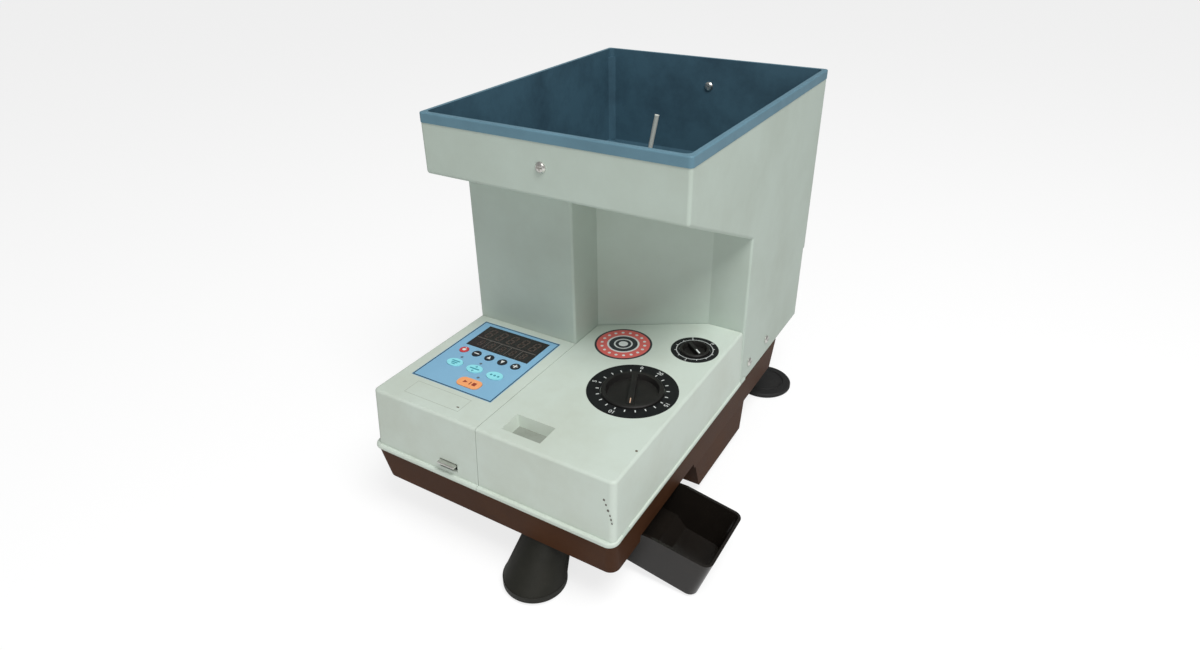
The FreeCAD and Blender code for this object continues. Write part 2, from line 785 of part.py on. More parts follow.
# Gate that bounds the coin path on the left: a slide with the cam's pin and a hanging blade.
gate_pin_x = big_x - (cam_inner + cam_outer) / 2
diameter_gate = fuse(
    box(126, 101, 129.5, 60, 16.4, 3.0),
    cylinder(gate_pin_x, big_y, 132, 1.5, 4.9),
    box(159, 78, track_top + 0.8, 6, 62, 132.5 - (track_top + 0.8)),
)
part_named(diameter_gate, "diameter_gate")

# Screw under the thickness knob, and the gate whose nut it lifts.
part_named(cylinder(small_x, small_y, 108, 4, 29), "thickness_screw")
nut = cut(box(small_x - 7, small_y - 6.5, 122, 14, 13, 10),
          cylinder(small_x, small_y, 120, 4.05, 14))
thickness_gate = fuse(
    nut,
    box(156, 191.0, 126, small_x - 7 - 156, 7.0, 5),
    box(156, 191.0, track_top + 2.2, 12, 7.0, 131 - (track_top + 2.2)),
)
part_named(thickness_gate, "thickness_gate")


# Housing: a column behind the covers and the hopper casing that overhangs them, one shell.
def underside(y, rise=0):
    return hopper_front_bottom + rise - under_slope * (size_of(y) - hopper_front)


def make_housing():
    column = [
        (column_left, column_front_y), (seam - 0.25, column_front_y), (seam - 0.25, wall_turn_y),
        (wall_turn_x, right_wall_y), (hopper_right, right_wall_y), (hopper_right, 414),
        (column_left, 414),
    ]
    inside = [
        (column_left + wall, column_front_y + wall), (109.25, column_front_y + wall),
        (109.25, 191.5), (203.3, 247.5), (hopper_right - wall, 247.5), (hopper_right - wall, 411.5),
        (column_left + wall, 411.5),
    ]
    casing = [
        (hopper_front, underside(hopper_front)), (hopper_back, underside(hopper_back)),
        (hopper_back, hopper_top - rim_height), (hopper_front, hopper_top - rim_height),
    ]
    room = [
        (hopper_front + wall, underside(hopper_front + wall, 2.8)),
        (hopper_back - wall, underside(hopper_back - wall, 2.8)),
        (hopper_back - wall, hopper_top), (hopper_front + wall, hopper_top),
    ]
    casing_block = extruded(casing, hopper_right - hopper_left, "YZ", hopper_left)
    casing_block = rounded(
        casing_block, 3.0,
        lambda e: (upright(e) or e.BoundBox.ZMax < 345) and e.BoundBox.YLength < 320,
    )
    column_block = extruded(column, 226, "XY", column_bottom)
    column_block = rounded(
        column_block, 2.5,
        lambda e: upright(e) and (e.BoundBox.YMin < 180 or e.BoundBox.XMin > 235),
    )
    outer = fuse(casing_block, column_block)
    inner = fuse(
        extruded(inside, 262.5, "XY", column_bottom - 1),
        extruded(room, hopper_right - hopper_left - 2 * wall, "YZ", hopper_left + wall),
    )
    tools = [box(231, 240, 80, 14, 16.6, 8.6)]
    tools += [cylinder(-10, y, z, 2.1, 260, "X") for z, y in SIDE_SCREWS]
    tools.append(cylinder(114, 100, 328, 2.1, 10, "Y"))
    tools.append(cylinder(118, 414, 327, 2.1, 10, "Y"))
    tools.append(box(24.5, 400, 100.5, 51, 20, 25))
    tools.append(box(146, 200, 80, 52, 60, 50))
    bottom = cut(box(1, 352, column_bottom, 239, 61, wall),
                 cylinder(disc_x, disc_y, 80, disc_radius + 5.4, 20))
    return fuse(cut(cut(outer, inner), *tools), bottom)


part_named(make_housing(), "housing_shell")


# Hopper liner: upright walls, a front floor that follows the casing, a funnel and its neck.
def make_bin():
    def liner(inset, rise, top, neck_low):
        left, right = hopper_left + wall + inset, hopper_right - wall - inset
        front, back = hopper_front + wall + inset, hopper_back - wall - inset
        turn_y = 231.8 + inset
        side = [
            (front, funnel_z + rise + under_slope * (turn_y - front)), (turn_y, funnel_z + rise),
            (back, funnel_z + rise), (back, top),
            (front, top),
        ]
        walls = extruded(side, right - left, "YZ", left)
        neck = (60 + inset, 291 + inset, 184 - inset, 402 - inset)
        funnel = wedge(None, neck, (left, turn_y, right, back), outlet_z + rise, funnel_z + rise)
        return fuse(walls, funnel, wedge(None, neck, neck, neck_low, outlet_z + rise))

    outer = liner(0, 0, hopper_top - rim_height, outlet_z - 20)
    inner = liner(liner_wall, 2.0, hopper_top + 1, outlet_z - 21)
    holes = fuse(
        cylinder(114, 100, 328, 2.1, 20, "Y"), cylinder(118, 405, 327, 2.1, 20, "Y"),
        cylinder(ROD_X, 285, ROD_Z, 2.06, 20, "Y"),
    )
    corner_x, corner_y = hopper_left + wall + 0.5, hopper_back - wall - 0.5
    corner = [(corner_x, corner_y), (corner_x, corner_y - 8), (corner_x + 8, corner_y)]
    strip_bottom = funnel_z + 1
    strip = extruded(corner, hopper_top - rim_height - strip_bottom, "XY", strip_bottom)
    return fuse(cut(outer, inner, holes), strip)


ROD_X = 93
ROD_Z = 215.5
part_named(make_bin(), "hopper_bin")


# Blue trim round the hopper's top, over the edges of casing and liner.
def make_rim():
    low = hopper_top - rim_height
    outer = rounded(
        box(hopper_left - 0.4, hopper_front - 0.5, low, hopper_right - hopper_left + 0.8,
            hopper_back - hopper_front + 1.0, rim_height), 3.5, upright)
    softened = rounded(outer, 1.2, lambda e: e.BoundBox.ZMin > float(hopper_top) - 0.1)
    hole = rounded(
        box(hopper_left + rim_width, hopper_front + rim_width, low - 1,
            hopper_right - hopper_left - 2 * rim_width,
            hopper_back - hopper_front - 2 * rim_width, rim_height + 2), 5.0, upright)
    return cut(softened, hole)


part_named(make_rim(), "hopper_rim")

TO_LEFT = Rotation(Vector(0, 1, 0), -90)
housing_screws = [pan_screw(hopper_right, y, z, TO_RIGHT, 4.2, 6.0) for z, y in SIDE_SCREWS]
housing_screws += [pan_screw(column_left, y, z, TO_LEFT, 4.2, 6.0) for z, y in SIDE_SCREWS]
housing_screws.append(pan_screw(114, hopper_front, 328, TO_FRONT, 4.6, 4.4))
housing_screws.append(pan_screw(118, hopper_back - wall - liner_wall, 327, TO_FRONT, 4.6, 4.0))
part_named(group(*chassis_screws, *housing_screws), "pan_screws")

# Coin level rod: a pale rod standing in the hopper on a hub in the outlet.
rod_lean = math.atan2(21.6, 107.3)
rod = new("Part::Cylinder", "Rod")
rod.Radius = 2.25
rod.Height = 109.4
place(rod, ROD_X, 300, ROD_Z, Rotation(Vector(0, 1, 0), math.degrees(rod_lean)))
level_rod = fuse(
    rod, cylinder(ROD_X, 296.6, ROD_Z, 5.5, 6.6, "Y"), cylinder(ROD_X, 287, ROD_Z, 2.0, 14, "Y"),
)
part_named(level_rod, "level_rod")


# Spout: a flange and neck in the base, then a cone that leans forward to its banded mouth.
def make_spout():
    def bore(inset):
        low = circles(None, [(mouth_x, mouth_y, mouth_radius - inset - 0.2)], "XY", 8.5)
        high = circles(None, [(spout_x, spout_y, neck_radius - inset - 0.1)], "XY", 46.9)
        return lofted(low, high)

    flange = cut(
        cylinder(spout_x, spout_y, 50, neck_radius + 5, 2.5),
        box(spout_x - 30, spout_y - 30, 49, 60, 11.7, 5),
    )
    outer = fuse(
        cylinder(mouth_x, mouth_y, 3, mouth_radius, 6), bore(0),
        cylinder(spout_x, spout_y, 46.5, neck_radius, 6.5), flange,
    )
    inside = fuse(
        cylinder(mouth_x, mouth_y, 2, mouth_radius - 2, 6.8), bore(2),
        cylinder(spout_x, spout_y, 46.4, neck_radius - 2, 8),
    )
    return cut(outer, inside)


part_named(make_spout(), "spout")


# Chute that drops counted coins from the end of the track into the spout.
def make_drop_chute():
    outer = fuse(
        wedge(None, (151, 12, 175, 36), (146.5, 9, 190.5, 46), 54, 103),
        box(142, 5, 82, 52, 46, 1.5),
    )
    inner = wedge(None, (152.5, 13.5, 173.5, 34.5), (148, 10.5, 189, 44.5), 53.9, 103.1)
    return cut(outer, inner)


part_named(make_drop_chute(), "drop_chute")


# Sloping chute that leads rejected coins from the slot in the track to the tray.
def make_reject_chute():
    slide = [(158, 100), (160.5, 100), (219, 60.5), (217.5, 58)]
    side = [(157, 101), (190, 101), (222, 66), (218, 57.5), (157, 98)]
    walls = [extruded(side, 2, "XZ", -y) for y in (78, 130)]
    ears = [box(150, 66, 82, 60, 10, 1.5), box(150, 130, 82, 60, 6, 1.5)]
    return fuse(extruded(slide, 52, "XZ", -129), *walls, *ears)


part_named(make_reject_chute(), "reject_chute")


# Coin track: a plate on posts with a fence, a slot for small coins and the front pulley's stand.
def make_track():
    plate = cut(
        box(150, 47, track_top - 2, 46, 253, 2),
        cylinder(disc_x, disc_y, track_top - 4, 68.0, 10),
        box(166, 80, track_top - 4, 18, 46, 10),
    )
    posts = [box(x, y, 82, 4, 10, track_top - 84) for x in (150, 192) for y in (52, 148)]
    posts.append(box(192, 236, 82, 4, 10, track_top - 84))
    fence = box(189, 47, track_top, 3, 190, 6)
    stand = cut(box(192, 46.5, track_top - 2, 4, 14, 22), cylinder(190, 54, belt_z, 2.05, 8, "X"))
    return fuse(plate, *posts, fence, stand)


part_named(make_track(), "coin_track")


# Guard ring round the coin disc, open where coins leave along the track.
def make_guard():
    ring = fuse(
        cylinder(disc_x, disc_y, 82, disc_radius + 5, 66),
        cylinder(disc_x, disc_y, 82, disc_radius + 9, 2),
    )
    return cut(
        ring, cylinder(disc_x, disc_y, 80, disc_radius + 2, 70),
        box(150, 225, track_top - 5, 45, 75, 12), box(40, 343, 81, 164, 40, 3.2),
    )


part_named(make_guard(), "disc_guard")

# Coin disc with its shaft and pulley, turning in a flanged bearing on the chassis.
disc_profile = [
    (0, 70), (5, 70), (5, 96), (16, 96), (16, 98), (disc_radius, 98), (disc_radius, disc_top),
    (14, disc_top), (8, disc_top + 5), (0, disc_top + 6),
]
part_named(revolved(disc_profile, disc_x, disc_y, 0), "coin_disc")
pulley_profile = [(0, 60), (32, 60), (32, 62), (30, 62), (30, 73), (32, 73), (32, 74.8), (5, 74.8), (5, 70), (0, 70)]
part_named(revolved(pulley_profile, disc_x, disc_y, 0), "disc_pulley")
bearing_profile = [(5.06, 76), (14, 76), (14, 82), (22, 82), (22, 85), (12, 85), (12, 95), (5.06, 95)]
part_named(revolved(bearing_profile, disc_x, disc_y, 0), "disc_bearing")

# Main motor hung under the chassis on three posts, with its pulley.
MOTOR_X = 66
MOTOR_Y = 215
posts = []
for angle in (176.6, 236.6, 296.6):
    turn = math.radians(angle)
    posts.append(cylinder(MOTOR_X + 24 * math.cos(turn), MOTOR_Y + 24 * math.sin(turn), 56, 3, 24))
motor = fuse(
    rounded(cylinder(MOTOR_X, MOTOR_Y, 17, 30, 40), 2.0, lambda e: True), *posts,
    cylinder(MOTOR_X, MOTOR_Y, 56, 9, 4),
)
part_named(motor, "main_motor")
motor_pulley = [(0, 61), (14, 61), (14, 62.5), (12, 62.5), (12, 73), (14, 73), (14, 74.5), (0, 74.5)]
part_named(revolved(motor_pulley, MOTOR_X, MOTOR_Y, 0), "motor_pulley")


# A flat belt round two round bodies: centres in the belt's own plane, inner radii, thickness.
def belt_loop(first, first_radius, second, second_radius, thickness, width):
    def loop(grow):
        dx, dy = second[0] - first[0], second[1] - first[1]
        run = math.hypot(dx, dy)
        heading = math.atan2(dy, dx)
        spread = math.acos((first_radius - second_radius) / run)
        rims = ((first, first_radius + grow), (second, second_radius + grow))

        def at(rim, angle):
            (x, y), radius = rim
            return Vector(x + radius * math.cos(angle), y + radius * math.sin(angle), 0)

        left, right = heading + spread, heading - spread
        a, b = at(rims[0], left), at(rims[1], left)
        c, d = at(rims[1], right), at(rims[0], right)
        far, near = at(rims[1], heading), at(rims[0], heading + math.pi)
        return Part.Wire([
            Part.LineSegment(a, b).toShape(), Part.Arc(b, far, c).toShape(),
            Part.LineSegment(c, d).toShape(), Part.Arc(d, near, a).toShape(),
        ])

    band = Part.Face(loop(thickness)).cut(Part.Face(loop(0)))
    item = new("Part::Feature", "Belt")
    item.Shape = band.extrude(Vector(0, 0, width))
    return item


# The belt is drawn with its plane flat, then turned to face +X where its shafts lie across.
ACROSS = Rotation(Vector(1, 1, 1), 120)
drive_belt = belt_loop((0, 0), 12.3, (float(disc_x) - MOTOR_X, float(disc_y) - MOTOR_Y), 30.3, 1.6, 8)
place(drive_belt, MOTOR_X, MOTOR_Y, 64)
part_named(drive_belt, "drive_belt")

# Transport belt over the track, its two pulleys and the gear motor that turns the rear one.
BELT_REAR = 222
BELT_FRONT = 54
transport_belt = belt_loop((0, 0), 7.15, (BELT_REAR - BELT_FRONT, 0), 7.15, 1.0, 8)
place(transport_belt, 178.5, BELT_FRONT, belt_z, ACROSS)
part_named(transport_belt, "transport_belt")
front_pulley = fuse(
    cylinder(178, BELT_FRONT, belt_z, pulley_radius, 9, "X"),
    cylinder(176, BELT_FRONT, belt_z, 2.0, 19.8, "X"),
)
part_named(front_pulley, "front_belt_pulley")
rear_pulley = fuse(
    cylinder(178, BELT_REAR, belt_z, pulley_radius, 9, "X"),
    cylinder(176, BELT_REAR, belt_z, 2.0, 20.7, "X"),
)
part_named(rear_pulley, "rear_belt_pulley")
transport_motor = fuse(
    rounded(cylinder(197, BELT_REAR, belt_z, 15.0, 36, "X"), 1.5, lambda e: True),
    box(199, BELT_REAR - 13, 82, 28, 26, belt_z - 90),
)

sensor = fuse(box(144, 58, 82, 5.6, 14, 36), box(144, 58, 112, 30, 14, 6))
part_named(sensor, "count_sensor")


# Feed belt that closes the rear of the hopper's outlet, on two rollers between side plates.
FEED_FRONT = 340
FEED_REAR = 387
FEED_Z = 189.5
feed_belt = belt_loop((0, 0), 12.2, (FEED_REAR - FEED_FRONT, 0), 12.2, 1.5, 110)
place(feed_belt, 67, FEED_FRONT, FEED_Z, ACROSS)
part_named(feed_belt, "feed_belt")
for label, y in (("feed_roller_front", FEED_FRONT), ("feed_roller_rear", FEED_REAR)):
    roller = fuse(
        cylinder(64, y, FEED_Z, 12, 116, "X"), cylinder(57.2, y, FEED_Z, 3.0, 129.6, "X"),
    )
    part_named(roller, label)
side_plates = []
for x in (57, 184):
    plate = box(x, 322, 172, 3, 80, 50)
    side_plates.append(cut(plate, *[cylinder(x - 1, y, FEED_Z, 3.06, 5, "X")
                                    for y in (FEED_FRONT, FEED_REAR)]))
tie = cylinder(60, 363, FEED_Z, 3, 124, "X")
part_named(fuse(*side_plates, tie), "feed_frame")
feed_motor = rounded(cylinder(187, FEED_FRONT, FEED_Z, 15, 40, "X"), 1.5, lambda e: True)
part_named(group(transport_motor, feed_motor), "gear_motors")

# Power supply: a board on stand-offs with its transformer and smoothing capacitors.
supply = fuse(
    box(8, 157, 88, 42, 66, 1.6), box(12, 162, 89.6, 34, 38, 30),
    cylinder(18, 212, 89.6, 6, 22), cylinder(34, 212, 89.6, 6, 22),
    *[cylinder(x, y, 82, 2.5, 6) for x in (12, 46) for y in (161, 219)],
)
part_named(supply, "power_supply")


# Mains inlet module in the housing's back, with its socket, three pins and the switch's room.
def make_inlet():
    shell = fuse(box(22, 414, 98, 56, 2.5, 30), box(25, 386, 101, 50, 28, 24))
    socket_room = box(29, 399, 105.5, 23, 20, 15)
    switch_room = box(57, 401, 103, 14, 20, 20)
    bores = cylinder(55.5, 410, 113, 1.06, 17, "X")
    pins = [box(x, 398.5, z, 1.6, 12, 3.2) for x, z in ((33.5, 108.5), (45.9, 108.5), (39.7, 114.5))]
    return fuse(cut(shell, socket_room, switch_room, bores), *pins)


part_named(make_inlet(), "power_inlet")

# Rocker of the mains switch, tilted to its off side, on two stub pins.
rocker_face = [(-6, -7), (4.5, -8.8), (3.2, 0), (4.5, 8.8), (-6, 7)]
rocker = new("Part::Extrusion", "Rocker")
rocker.Base = outline(None, rocker_face, "YZ", 0)
rocker.DirMode = "Normal"
rocker.Solid = True
rocker.LengthFwd = 13.4


def centre_free_sketch(item):
    for letter in "xyz":
        item.setExpression("Placement.Base." + letter, None)
    item.Placement = Placement(Vector(), item.Placement.Rotation)


centre_free_sketch(rocker.Base)
place(rocker, 57.3, 410, 113, Rotation(Vector(1, 0, 0), 7))
part_named(fuse(rocker, cylinder(55.8, 410, 113, 1.0, 16.4, "X")), "power_rocker")


# Reject tray: a box that widens upwards, its bottom and its rim lower at the outer end.
def make_tray():
    def leaning(inset):
        low = (200 + inset, 49.6 + inset, 285.5 - inset, 111 - inset)
        high = (200 + inset, 47.5 + inset, 306.2 - inset, 125 - inset)
        block = wedge(None, low, high, 0, 64)
        return rounded(block, 8 - inset, lambda e: e.BoundBox.ZLength > 30
                       and e.BoundBox.XMax > 280)

    under = [(190, -10), (320, -10), (320, -3.7), (190, 19.0)]
    floor = [(190, -10), (320, -10), (320, -1.2), (250, 11.1), (240, 20), (190, 25)]
    outer = cut(leaning(0), extruded(under, 110, "XZ", -150))
    inner = cut(leaning(2.5), extruded(floor, 110, "XZ", -150))
    above = outline(None, [(190, 50.9), (245, 50.9), (320, 39.9), (320, 90), (190, 90)], "XZ", -40)
    trim = new("Part::Extrusion", "Trim")
    trim.Base = above
    trim.DirMode = "Custom"
    trim.Dir = Vector(0, 100, -1.2)
    trim.Solid = True
    trim.LengthFwd = 120
    return cut(outer, inner, trim)


part_named(make_tray(), "reject_tray")

doc.recompute()
faults = []
for item in doc.Objects:
    if set(item.State) & {"Invalid", "Error"}:
        faults.append("%s %s is %s" % (item.TypeId, item.Label, item.State))
for item in parts:
    if item.Shape.isNull() or not item.Shape.isValid():
        faults.append("%s has no valid shape" % item.Label)
if faults:
    raise RuntimeError("; ".join(faults))

os.makedirs("parts", exist_ok=True)
for item in parts:
    item.Shape.exportStep("parts/%s.step" % item.Label)
    print("%-20s solids %d volume %.0f" % (item.Label, len(item.Shape.Solids), item.Shape.Volume))
print("%d parts" % len(parts))
whole = Part.makeCompound([item.Shape for item in parts]).BoundBox
print("outline", whole)
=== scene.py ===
import bpy
import bmesh
import math
from mathutils import Matrix, Vector


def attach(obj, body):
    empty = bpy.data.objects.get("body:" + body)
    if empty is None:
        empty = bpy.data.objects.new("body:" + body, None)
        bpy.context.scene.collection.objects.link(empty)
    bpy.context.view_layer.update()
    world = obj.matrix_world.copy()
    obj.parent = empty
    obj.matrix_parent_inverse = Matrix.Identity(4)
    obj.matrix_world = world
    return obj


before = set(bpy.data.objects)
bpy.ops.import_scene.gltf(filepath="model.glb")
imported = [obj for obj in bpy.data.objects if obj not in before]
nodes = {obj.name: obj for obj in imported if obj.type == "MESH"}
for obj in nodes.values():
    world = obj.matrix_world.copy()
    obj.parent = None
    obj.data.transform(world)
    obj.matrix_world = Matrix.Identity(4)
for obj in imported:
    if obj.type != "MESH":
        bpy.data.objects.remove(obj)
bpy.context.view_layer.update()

# Electric coin counter with a rear hopper.

# Painted housing and hopper casing.
# The column behind the covers and the casing that hangs over them are one sheet steel shell,
# sprayed pale grey-green. The paint has a fine orange peel and is a little soiled by handling.

# Shader group for a sprayed or moulded skin: soft soiling in two colours, and fine grain.
def skin_group():
    group = bpy.data.node_groups.new("Soiled skin", "ShaderNodeTree")
    for name, kind in (
        ("Clean", "NodeSocketColor"), ("Soiled", "NodeSocketColor"),
        ("Patch size", "NodeSocketFloat"), ("Soil", "NodeSocketFloat"),
        ("Grain size", "NodeSocketFloat"), ("Grain depth", "NodeSocketFloat"),
        ("Smooth", "NodeSocketFloat"), ("Rough", "NodeSocketFloat"),
    ):
        group.interface.new_socket(name=name, in_out="INPUT", socket_type=kind)
    for name, kind in (
        ("Colour", "NodeSocketColor"), ("Roughness", "NodeSocketFloat"), ("Normal", "NodeSocketVector"),
    ):
        group.interface.new_socket(name=name, in_out="OUTPUT", socket_type=kind)
    node, link = group.nodes.new, group.links.new
    source, result = node("NodeGroupInput"), node("NodeGroupOutput")
    place = node("ShaderNodeTexCoord")
    patches = node("ShaderNodeTexNoise")
    patches.inputs["Detail"].default_value = 6
    patches.inputs["Roughness"].default_value = 0.65
    link(place.outputs["Object"], patches.inputs["Vector"])
    link(source.outputs["Patch size"], patches.inputs["Scale"])
    spread = node("ShaderNodeMapRange")
    spread.inputs["From Min"].default_value = 0.42
    spread.inputs["From Max"].default_value = 0.78
    link(patches.outputs["Fac"], spread.inputs["Value"])
    amount = node("ShaderNodeMath")
    amount.operation = "MULTIPLY"
    link(spread.outputs["Result"], amount.inputs[0])
    link(source.outputs["Soil"], amount.inputs[1])
    tint = node("ShaderNodeMix")
    tint.data_type = "RGBA"
    link(amount.outputs["Value"], tint.inputs["Factor"])
    link(source.outputs["Clean"], tint.inputs["A"])
    link(source.outputs["Soiled"], tint.inputs["B"])
    grain = node("ShaderNodeTexNoise")
    grain.inputs["Detail"].default_value = 2
    link(place.outputs["Object"], grain.inputs["Vector"])
    link(source.outputs["Grain size"], grain.inputs["Scale"])
    relief = node("ShaderNodeBump")
    relief.inputs["Distance"].default_value = 0.0003
    link(grain.outputs["Fac"], relief.inputs["Height"])
    link(source.outputs["Grain depth"], relief.inputs["Strength"])
    polish = node("ShaderNodeMapRange")
    link(patches.outputs["Fac"], polish.inputs["Value"])
    link(source.outputs["Smooth"], polish.inputs["To Min"])
    link(source.outputs["Rough"], polish.inputs["To Max"])
    link(tint.outputs["Result"], result.inputs["Colour"])
    link(polish.outputs["Result"], result.inputs["Roughness"])
    link(relief.outputs["Normal"], result.inputs["Normal"])
    return group


soiled_skin = skin_group()


def linear(red, green, blue):
    return tuple(
        (part / 255 / 12.92) if part <= 10 else ((part / 255 + 0.055) / 1.055) ** 2.4
        for part in (red, green, blue)
    ) + (1.0,)


def skin(name, clean, soiled, patch=14, soil=0.5, grain=1500, depth=0.15, smooth=0.4,
         rough=0.6, metallic=0.0, shine=0.5):
    material = bpy.data.materials.new(name)
    material.use_nodes = True
    tree = material.node_tree
    shader = tree.nodes["Principled BSDF"]
    shader.inputs["Metallic"].default_value = metallic
    shader.inputs["Specular IOR Level"].default_value = shine
    look = tree.nodes.new("ShaderNodeGroup")
    look.node_tree = soiled_skin
    values = {
        "Clean": linear(*clean), "Soiled": linear(*soiled), "Patch size": patch, "Soil": soil,
        "Grain size": grain, "Grain depth": depth, "Smooth": smooth, "Rough": rough,
    }
    for socket, value in values.items():
        look.inputs[socket].default_value = value
    tree.links.new(look.outputs["Colour"], shader.inputs["Base Color"])
    tree.links.new(look.outputs["Roughness"], shader.inputs["Roughness"])
    tree.links.new(look.outputs["Normal"], shader.inputs["Normal"])
    return material


def finish_part(name, material):
    mesh = nodes[name].data
    mesh.materials.clear()
    mesh.materials.append(material)


housing_paint = skin("housing paint", (187, 200, 190), (170, 180, 168), patch=9, soil=0.6,
                     grain=900, depth=0.12, smooth=0.42, rough=0.6, shine=0.35)
finish_part("housing_shell", housing_paint)
finish_part("hinge_knuckles", housing_paint)

# Moulded covers of the deck.
# Two plastic covers close the front: a fixed left one with the keys and a right one on a side
# hinge. They are moulded in the housing's colour, with a fine spark texture and grubby edges.

cover_plastic = skin("cover plastic", (203, 214, 204), (184, 190, 175), patch=11, soil=0.6,
                     grain=2200, depth=0.2, smooth=0.42, rough=0.6, shine=0.35)
finish_part("left_cover", cover_plastic)
finish_part("right_cover", cover_plastic)


# Places are written in millimetres, measured from the covers' front left corner and up from the
# counter top, as a maker's drawing has them. The frame's own origin is the middle of the outline.
def on_machine(x, y, z):
    outline_middle_x, outline_middle_y = 145.96, 195.7
    return Vector(((x - outline_middle_x) / 1000, (y - outline_middle_y) / 1000, z / 1000))


# Painted shade: the finger pocket's faces get a darker plastic that stands for the shade inside the
# recess.
pocket_painted_shade = skin("pocket painted shade", (150, 157, 147), (128, 132, 121), patch=40, soil=0.8,
                    grain=2200, depth=0.2, smooth=0.5, rough=0.65, shine=0.3)
cover = nodes["right_cover"].data
cover.materials.append(pocket_painted_shade)
pocket_low, pocket_high = on_machine(133.5, 14.5, 134), on_machine(163, 29.5, 143.6)
# Faces inside the pocket take the darker painted-shade plastic.
for face in cover.polygons:
    if all(low < at < high for low, at, high in zip(pocket_low, face.center, pocket_high)):
        face.material_index = 1

# Blue trim and bin of the hopper.
# The hopper's edge is capped by a moulded blue trim. The bin inside is slate blue plastic, dull
# and scratched by coins.

rim_plastic = skin("rim plastic", (98, 134, 150), (84, 116, 130), patch=20, soil=0.6,
                   grain=1800, depth=0.15, smooth=0.4, rough=0.55, shine=0.3)
finish_part("hopper_rim", rim_plastic)
bin_plastic = skin("bin plastic", (66, 98, 114), (44, 68, 82), patch=16, soil=1.0,
                   grain=600, depth=0.25, smooth=0.42, rough=0.62, shine=0.3)
finish_part("hopper_bin", bin_plastic)

# Below its rounded top the rim has the bin's colour on the inside.
rim = nodes["hopper_rim"].data
rim.materials.append(bin_plastic)
hopper_middle = on_machine(117, 261, 0)
rounding_start = 354.5 / 1000
for face in rim.polygons:
    inward = (hopper_middle - face.center) * Vector((1, 1, 0))
    faces_in = face.normal.dot(inward.normalized()) > 0.3 and face.normal.z < 0.3
    if faces_in and face.center.z < rounding_start:
        face.material_index = 1

rod_plastic = skin("rod plastic", (205, 208, 200), (170, 172, 160), patch=60, soil=0.6)
finish_part("level_rod", rod_plastic)

# Base pan, tray, spout and feet.
# The pan is dark brown glossy plastic. The reject tray beside it is black and shinier, and the
# bag spout and the feet are dull black.

base_plastic = skin("base plastic", (68, 42, 26), (86, 56, 36), patch=18, soil=0.6,
                    grain=1600, depth=0.2, smooth=0.42, rough=0.58, shine=0.05)
finish_part("base_pan", base_plastic)
tray_plastic = skin("tray plastic", (26, 23, 20), (40, 34, 29), patch=24, soil=0.5,
                    grain=900, depth=0.08, smooth=0.1, rough=0.24, shine=0.4)
finish_part("reject_tray", tray_plastic)
spout_plastic = skin("spout plastic", (34, 34, 29), (48, 47, 41), patch=26, soil=0.6,
                     grain=1500, depth=0.3, smooth=0.4, rough=0.6, shine=0.2)
finish_part("spout", spout_plastic)
foot_rubber = skin("foot rubber", (22, 22, 22), (40, 39, 36), patch=60, smooth=0.6, rough=0.8)
finish_part("rubber_feet", foot_rubber)

# Round rear foot.
# A wide round rubber foot on a stem carries the column's overhanging rear corner. Its pad has a
# raised rim and a shallow groove.


# Turns finished bmesh work into a piece of one material that rides on a body.
def made_piece(name, work, material, body):
    bmesh.ops.recalc_face_normals(work, faces=work.faces)
    mesh = bpy.data.meshes.new(name)
    work.to_mesh(mesh)
    work.free()
    mesh.materials.append(material)
    piece = bpy.data.objects.new(name, mesh)
    bpy.context.scene.collection.objects.link(piece)
    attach(piece, body)
    return piece


# Outlines of the pad and the stem, as radius and height in millimetres.
pad_outline = (
    (0, 0.3), (29.6, 0.3), (31, 1.6), (31, 4.4), (29.8, 5.8), (22.6, 6.2), (21.8, 5.2), (20.2, 5.2),
    (19.4, 6.4), (10.5, 7.2), (0, 7.2),
)
stem_outline = ((0, 5.5), (7, 5.5), (7, 83.8), (0, 83.8))
work = bmesh.new()
for centre_x, centre_y, outline in ((224, 379, pad_outline), (207, 373, stem_outline)):
    ring = [work.verts.new(on_machine(centre_x + out, centre_y, up)) for out, up in outline]
    edges = [work.edges.new(pair) for pair in zip(ring, ring[1:])]
    bmesh.ops.spin(work, geom=ring + edges, cent=on_machine(centre_x, centre_y, 0),
                   axis=(0, 0, 1), angle=2 * math.pi, steps=64, use_merge=True)
bmesh.ops.remove_doubles(work, verts=work.verts, dist=0.00001)
round_foot = made_piece("round_foot", work, foot_rubber, "machine")


# Control label.
# A light blue film with a dark line round its edge lies in a recess of the left cover. It is
# open over the keys and the display, and small grey lamps show through it.

label_film = skin("label film", (134, 183, 214), (120, 168, 200), patch=20, soil=0.35,
                  grain=2500, depth=0.06, smooth=0.3, rough=0.45)
finish_part("control_label", label_film)
ink_dark = skin("dark ink", (30, 66, 92), (38, 76, 100), patch=80, soil=0.4)
lamp_grey = skin("lamp grey", (92, 108, 118), (74, 86, 94), patch=200, soil=0.5)


# A thin flat piece from outlines in plan, raised from one height to another.
def flat_piece(name, outlines, low, high, material, body):
    work = bmesh.new()
    for corners in outlines:
        floor = [work.verts.new(on_machine(x, y, low)) for x, y in corners]
        roof = [work.verts.new(on_machine(x, y, high)) for x, y in corners]
        work.faces.new(roof)
        work.faces.new(list(reversed(floor)))
        count = len(corners)
        for n in range(count):
            after = (n + 1) % count
            work.faces.new((floor[n], floor[after], roof[after], roof[n]))
    return made_piece(name, work, material, body)


def bar(x0, y0, x1, y1):
    return [(x0, y0), (x1, y0), (x1, y1), (x0, y1)]


def disc(x, y, radius_x, radius_y=None, count=32):
    radius_y = radius_y or radius_x
    return [
        (x + radius_x * math.cos(2 * math.pi * n / count),
         y + radius_y * math.sin(2 * math.pi * n / count)) for n in range(count)
    ]


